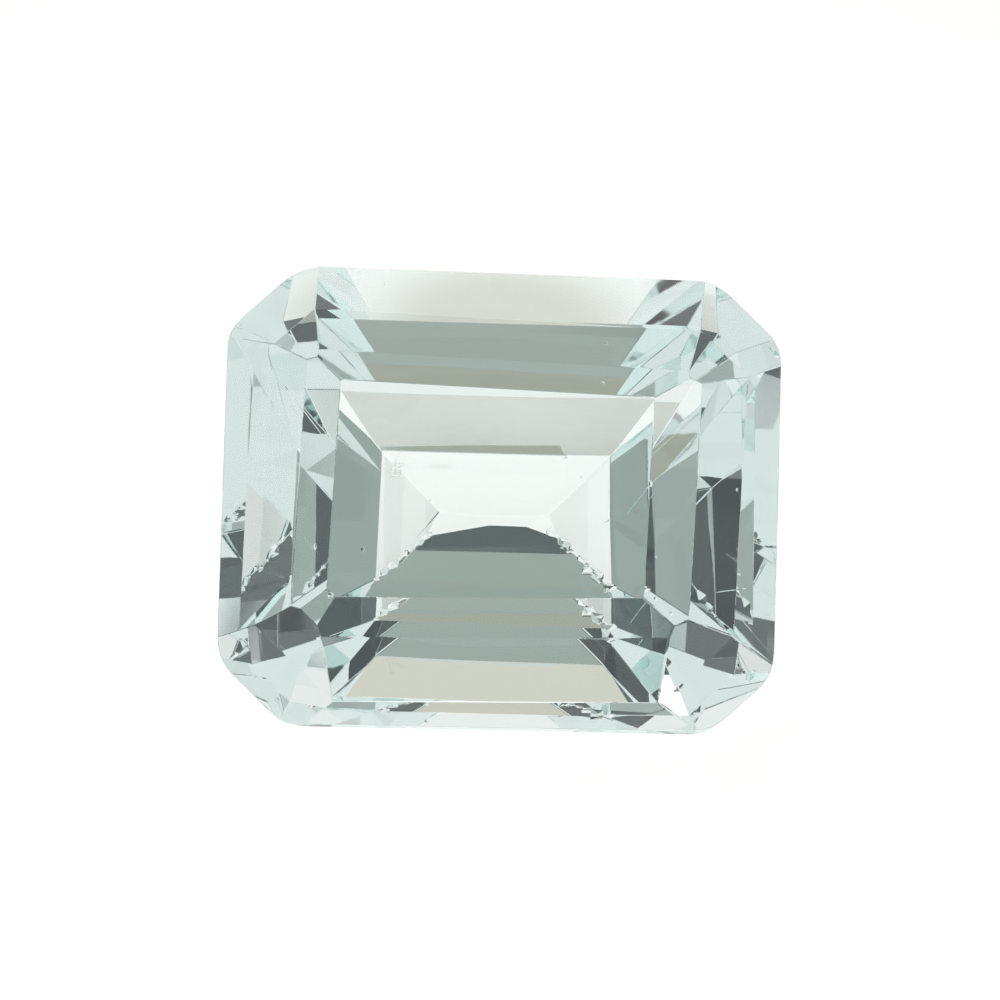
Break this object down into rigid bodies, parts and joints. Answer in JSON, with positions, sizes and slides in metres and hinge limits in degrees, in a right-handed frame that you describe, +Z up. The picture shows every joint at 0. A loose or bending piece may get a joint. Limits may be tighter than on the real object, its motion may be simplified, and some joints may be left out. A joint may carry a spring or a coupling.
{
  "type": "step-cut blue topaz gemstone",
  "caption": "Loose octagonal step-cut topaz, pale blue and clear, lying on a pavilion facet with its table facing out and up.",
  "frame": {"origin": "middle of the underside of the stone's bounding box, on the surface that it lies on", "axes": "+X along the stone's length, -Y toward the side that the table faces, +Z up"},
  "size_m": [0.011, 0.0074, 0.0069],
  "materials": {
    "topaz": "polished"
  },
  "bodies": {
    "root": {"topaz": "topaz"}
  },
  "joints": []
}
